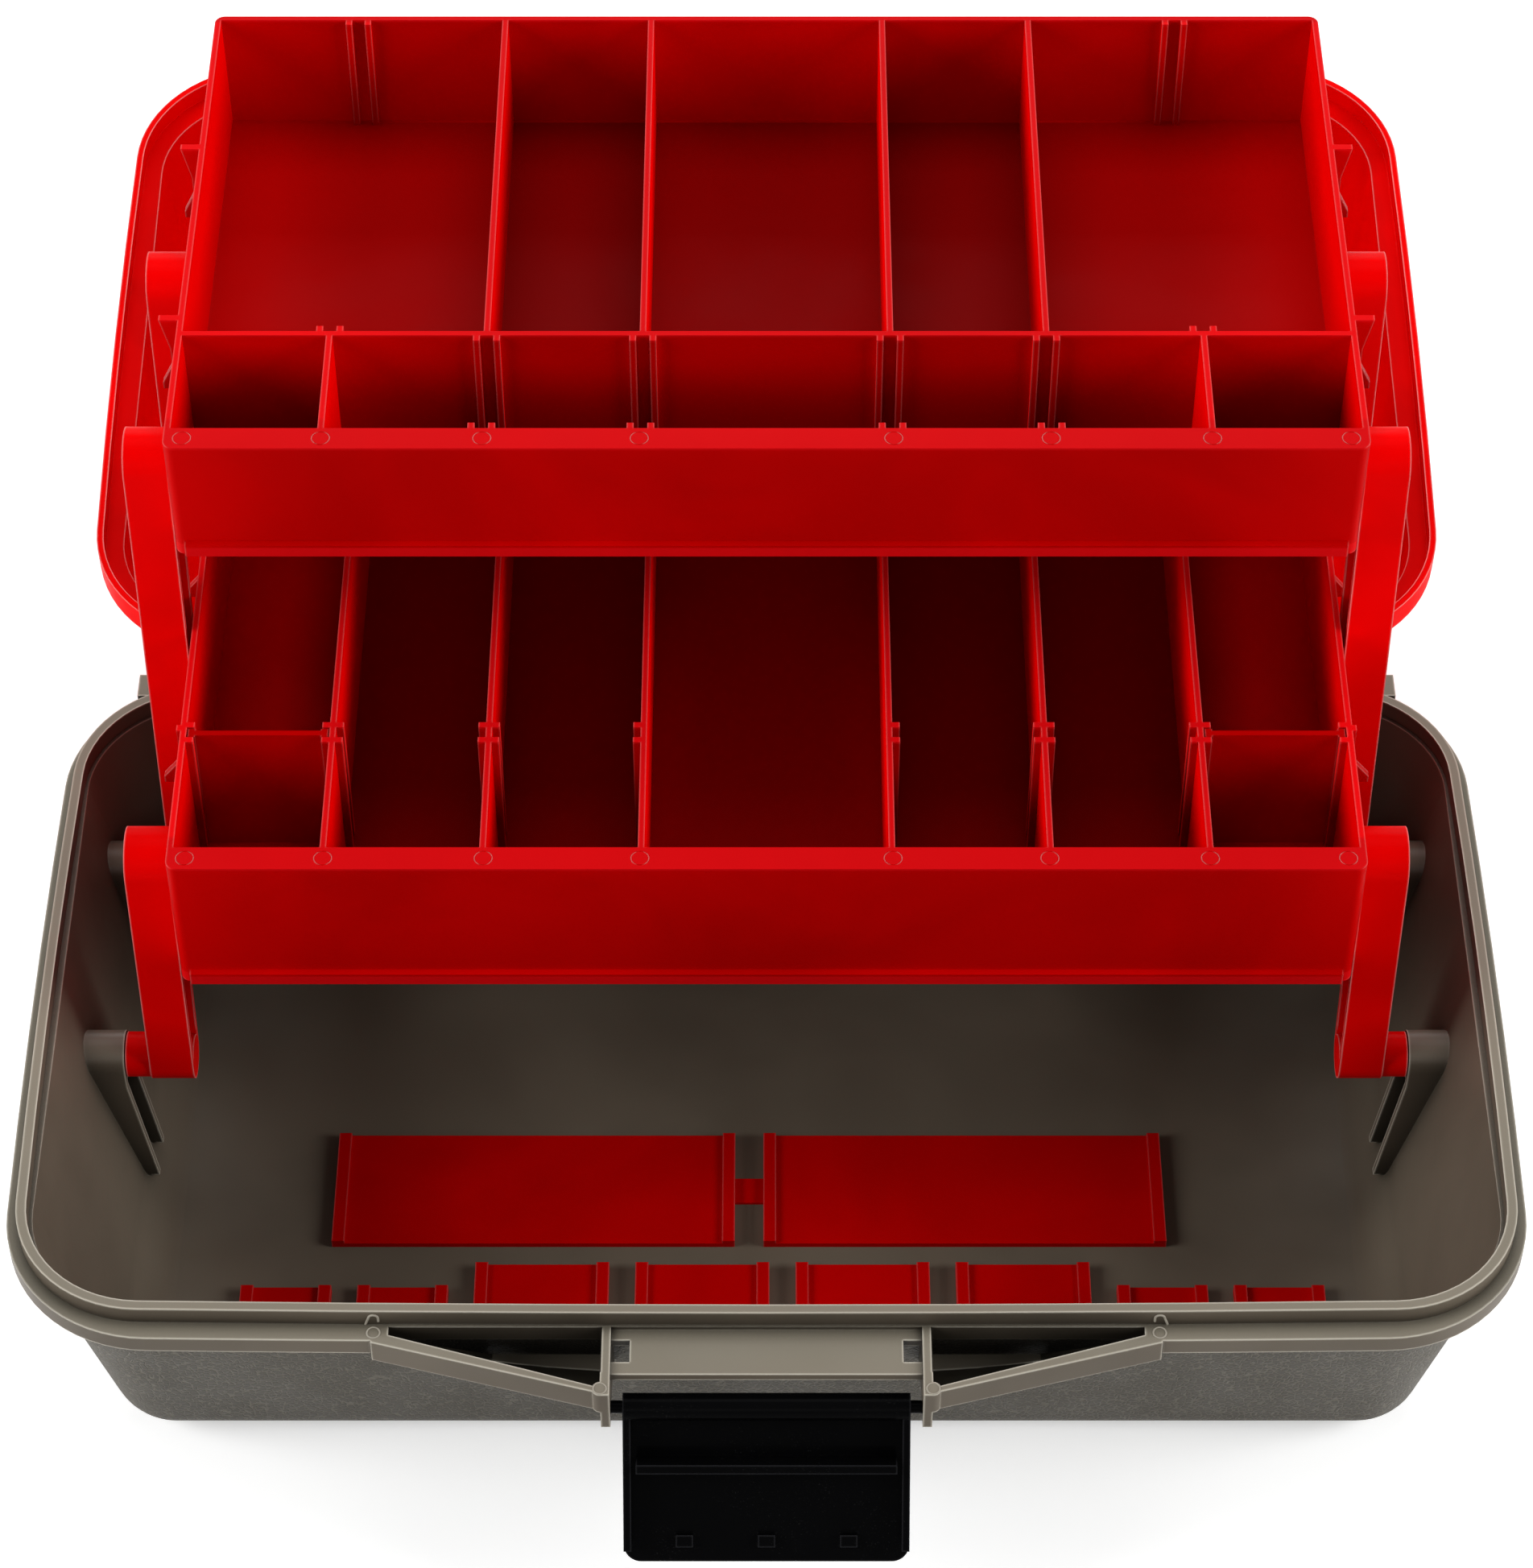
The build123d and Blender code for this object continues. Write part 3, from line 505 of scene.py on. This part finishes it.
def grown(name, points, lines, tree, body, slot, **sizes):
    """A piece that a tree grows from points and lines, baked to a plain mesh and given its body. The slot is
    not used.
    """
    mesh = bpy.data.meshes.new(name)
    mesh.from_pydata(points, lines, [])
    host = bpy.data.objects.new(name, mesh)
    bpy.context.collection.objects.link(host)
    modifier = host.modifiers.new("grown", "NODES")
    modifier.node_group = tree
    named = {item.name: item.identifier for item in tree.interface.items_tree}
    for size, value in sizes.items():
        modifier[named[size.replace("_", " ")]] = value
    bpy.context.view_layer.update()
    seen = host.evaluated_get(bpy.context.evaluated_depsgraph_get())
    mesh = bpy.data.meshes.new_from_object(seen)
    host.modifiers.clear()
    host.data = mesh
    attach(host, body)
    print(name, "triangles:", sum(len(face.vertices) - 2 for face in mesh.polygons))


ring_spots = (135.6, 103.4, 66.0, 29.5)
ledge_middle = 4.65 * mm
ring_sunk = 0.12 * mm
ring_red = red_plastic("ring_red", gloss=0.5, edge_highlight=0.5)
for tray in ("lower_tray", "upper_tray"):
    low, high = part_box(tray)
    spots = [(side * x * mm, low[1] + ledge_middle, high[2] - ring_sunk)
             for x in ring_spots for side in (-1, 1)]
    grown(tray + "_rings", spots, [], ring_tree(ring_red), tray, "red_plastic")

# %% [markdown]
# The tub's front flange carries two round marks where the prow begins and two more at its corners, each
# smaller than a tray's rings. Above the first two stands a thin rib like a bent wire, which runs up the
# lip and back down. A second tree sweeps a round line along the edges of a mesh, so the rib is only a few
# points in a row.

# %% Marks on the tub's flange
def swept_tree(material):
    tree, start, end = new_tree("swept_line", Line_Radius=0.28 * mm)
    path = tree.nodes.new("GeometryNodeMeshToCurve")
    tree.links.new(start.outputs["Geometry"], path.inputs["Mesh"])
    return make_real(tree, round_line(tree, start, 8, path.outputs["Curve"]), material, end)


def bent_rib(side):
    """Points of the rib on the lip's outside: up one leg, round the top and down to the round mark."""
    y, low, high = lip_y - 0.1 * mm, rim_z + 0.1 * mm, rim_z + 2.6 * mm
    half, foot, short = 1.1 * mm, 1.9 * mm, 1.2 * mm
    top = [(side * (mark_x + half * cos(turn)), y, high + half * sin(turn))
           for turn in (radians(step * 30) for step in range(7))]
    return [(side * (mark_x + foot), y, low), *top, (side * (mark_x - half), y, low + short)]


lip_height = 5 * mm
rim_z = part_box("base_tub")[1][2] - lip_height
lip_y = -98.46 * mm
mark_x, mark_y = 90.4 * mm, lip_y - 2.4 * mm
corner_x, corner_y = 38 * mm, -116.2 * mm
mark_radius = 1.5 * mm
mark_dull, mark_pale = (0.30, 0.27, 0.22), (0.40, 0.37, 0.31)
mark_finish = Finish("mark_taupe", roughness=0.45, Specular_IOR_Level=0.2)
mark_speck = mark_finish.noise(700, detail=1.0)
mark_colour = mark_finish.mix(mark_speck, mark_dull, mark_pale)
mark_taupe = mark_finish.set(Base_Color=mark_colour)
mark_spots = [(side * x, y, rim_z) for x, y in ((mark_x, mark_y), (corner_x, corner_y))
              for side in (-1, 1)]
grown("flange_marks", mark_spots, [], ring_tree(mark_taupe), "base", "tub_plastic",
      Ring_Radius=mark_radius)
for side, word in ((-1, "left"), (1, "right")):
    points = bent_rib(side)
    lines = [(i, i + 1) for i in range(len(points) - 1)]
    grown("flange_rib_" + word, points, lines, swept_tree(mark_taupe), "base", "tub_plastic")
print("flange marks at", round(mark_x / mm, 1), "mm either side")

# %% [markdown]
# Behind the prow each shell has a pocket, closed below by a thin web between the prow's slope and the
# wall. The web is a small plate, so its corners are listed once in the plan, seen on the right of the tub.
# The left one is its mirror image, and the lid's are the same two, turned over with the lid.

# %% Webs under the prow pockets
web_plan = ((38, -93.2), (38, -98.3), (50, -97.4), (60, -96.3), (68, -94.8), (70, -93.4))
web_heights = (51.6, 52.8)
hinge_y = 110.8 * mm
lid_angle = pi - lid_lean


def turned_over(x, y, z):
    """From the tub's rim to the open lid: mirrored at the rim, then swung back round the hinge."""
    out, rise = y - hinge_y, rim_z - z
    across = out * cos(lid_angle) + rise * sin(lid_angle)
    up = rise * cos(lid_angle) - out * sin(lid_angle)
    return x, hinge_y + across, rim_z + up


def web(name, side, place, body, material):
    """A plate between two heights, with each corner of its plan put in place by a function."""
    shape = bmesh.new()
    lower, upper = [[shape.verts.new(place(side * x * mm, y * mm, z * mm)) for x, y in web_plan]
                    for z in web_heights]
    shape.faces.new(lower)
    shape.faces.new(upper)
    for i in range(len(web_plan)):
        shape.faces.new((lower[i - 1], lower[i], upper[i], upper[i - 1]))
    bmesh.ops.recalc_face_normals(shape, faces=shape.faces)
    mesh = bpy.data.meshes.new(name)
    shape.to_mesh(mesh)
    shape.free()
    mesh.materials.append(material)
    plate = bpy.data.objects.new(name, mesh)
    bpy.context.collection.objects.link(plate)
    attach(plate, body)
    print("web:", name)


for side, word in ((1, "right"), (-1, "left")):
    web("tub_web_" + word, side, lambda *corner: corner, "base", tub_taupe)
    web("lid_web_" + word, side, turned_over, "lid", lid_red)

# %% [markdown]
# The studio is a white sweep. The floor is a large plane that catches the object's shadow, and the white
# comes from what the camera, a mirror or glass sees, not from stronger lamps. Large soft lamps above,
# behind, in front and on both sides show the shapes without burning the colours out.

# %% Floor, world and lamps
world_fill = 0.12
floor_glow = 0.45
floor_colour = (0.9, 0.9, 0.9, 1)


def white_where_seen(tree, dark, light):
    """Mixes two shaders so that camera, glossy and transmitted rays see the light one."""
    path = tree.nodes.new("ShaderNodeLightPath")
    camera_ray, glossy_ray, clear_ray = (Value(tree, path.outputs[ray]) for ray in
                                         ("Is Camera Ray", "Is Glossy Ray", "Is Transmission Ray"))
    mix = tree.nodes.new("ShaderNodeMixShader")
    plug(tree, mix.inputs[0], camera_ray.larger(glossy_ray).larger(clear_ray))
    tree.links.new(dark, mix.inputs[1])
    tree.links.new(light, mix.inputs[2])
    return mix.outputs[0]


world = bpy.data.worlds.new("studio")
bpy.context.scene.world = world
world.use_nodes = True
tree = world.node_tree
tree.nodes.clear()
dim, bright = (add_node(tree, "ShaderNodeBackground", Color=(1, 1, 1, 1), Strength=strength)
               for strength in (world_fill, 1.0))
surface = tree.nodes.new("ShaderNodeOutputWorld")
tree.links.new(white_where_seen(tree, dim.socket, bright.socket), surface.inputs[0])

floor_material = bpy.data.materials.new("studio_floor")
floor_material.use_nodes = True
tree = floor_material.node_tree
cloth = tree.nodes["Principled BSDF"]
cloth.inputs["Base Color"].default_value = floor_colour
cloth.inputs["Roughness"].default_value = 0.8
glow = add_node(tree, "ShaderNodeEmission", Strength=floor_glow)
both = add_node(tree, "ShaderNodeAddShader", places={0: Value(tree, cloth.outputs[0]), 1: glow})
tree.links.new(white_where_seen(tree, cloth.outputs[0], both.socket),
               tree.nodes["Material Output"].inputs[0])
bpy.ops.mesh.primitive_plane_add(size=6)
floor = bpy.context.object
floor.name = "studio_floor"
floor.data.materials.append(floor_material)


def lamp(name, place, aim, size, watts):
    data = bpy.data.lights.new(name, "AREA")
    data.shape = "RECTANGLE"
    data.size, data.size_y = size
    data.energy = watts
    light = bpy.data.objects.new(name, data)
    light.location = place
    light.rotation_euler = (Vector(aim) - Vector(place)).to_track_quat("-Z", "Y").to_euler()
    bpy.context.collection.objects.link(light)


lamp("top_softbox", (0, 0.6, 1.6), (0, 0.1, 0), (1.4, 0.9), 9)
lamp("back_softbox", (0, 1.7, 0.9), (0, 0.2, 0.05), (1.4, 0.7), 12)
lamp("front_softbox", (0, -1.7, 1.0), (0, 0.0, 0.05), (1.4, 0.6), 3.5)
for side, word in ((-1, "left"), (1, "right")):
    lamp(word + "_softbox", (side * 1.4, -0.3, 0.8), (0, 0.1, 0.05), (0.8, 0.8), 19)
bpy.context.scene.view_settings.view_transform = "Standard"
print("studio ready")
